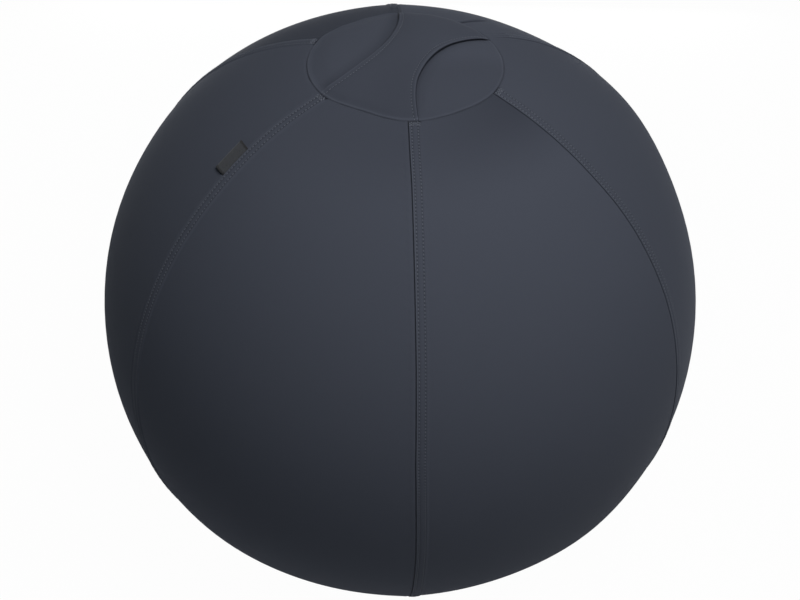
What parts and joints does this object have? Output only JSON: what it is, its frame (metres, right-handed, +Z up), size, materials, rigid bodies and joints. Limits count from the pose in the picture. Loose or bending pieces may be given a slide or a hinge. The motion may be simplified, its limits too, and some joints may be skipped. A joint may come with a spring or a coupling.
{
  "type": "sitting ball",
  "caption": "Inflated sitting ball in a sewn cloth cover with gored sides, a round crown, an hourglass carry handle that lifts, and a zip in a rear seam.",
  "frame": {"origin": "on the floor, under the middle of the ball", "axes": "+Z up; the carry handle runs along Y, with the front of the picture's view towards -Y and +X"},
  "size_m": [0.6514, 0.6449, 0.6494],
  "materials": {
    "cover_cloth": "matte close-woven upholstery cloth, dark blue-grey",
    "label_tape": "bare woven tape, near black",
    "zip_tape": "woven zip tape, dark grey",
    "zip_nylon": "dark grey nylon teeth",
    "zip_metal": "dark grey lacquered zinc",
    "ball_vinyl": "grey soft vinyl",
    "plug_plastic": "white moulded plastic",
    "pouch_cloth": "black lining cloth",
    "ballast_sand": "loose sand"
  },
  "bodies": {
    "ball": {"gore_panel_1": "cover_cloth", "gore_panel_2": "cover_cloth", "gore_panel_3": "cover_cloth", "gore_panel_4": "cover_cloth", "gore_panel_5": "cover_cloth", "gore_panel_6": "cover_cloth", "crown_panel": "cover_cloth", "base_panel": "cover_cloth", "handle_front_flare": "cover_cloth", "handle_rear_flare": "cover_cloth", "side_label": "label_tape", "zip_tape_left": "zip_tape", "zip_tape_right": "zip_tape", "zip_top_stops": "zip_metal", "zip_bottom_stop": "zip_metal", "zip_coil_left": "zip_nylon", "zip_coil_right": "zip_nylon", "inner_ball": "ball_vinyl", "valve_seat": "ball_vinyl", "valve_plug": "plug_plastic", "ballast_pouch": "pouch_cloth", "ballast_grain": "ballast_sand"},
    "grip": {"handle_grip": "cover_cloth"},
    "slider": {"zip_slider": "zip_metal"},
    "pull": {"zip_pull": "zip_metal"}
  },
  "joints": [
    {"name": "handle_lift", "type": "slide", "parent": "ball", "child": "grip", "axis": [0, 0, 1], "range_m": [0, 0.02], "deforming": ["handle_front_flare", "handle_rear_flare"]},
    {"name": "zip_run", "type": "hinge", "parent": "ball", "child": "slider", "pos_m": [0, 0, 0.31687], "axis": [-0.866, -0.5, 0], "range_deg": [0, 49.5], "deforming": ["zip_coil_left", "zip_coil_right"]},
    {"name": "pull_swing", "type": "hinge", "parent": "slider", "child": "pull", "pos_m": [-0.15809, 0.27382, 0.40105], "axis": [0.866, 0.5, 0], "range_deg": [0, 160]}
  ]
}
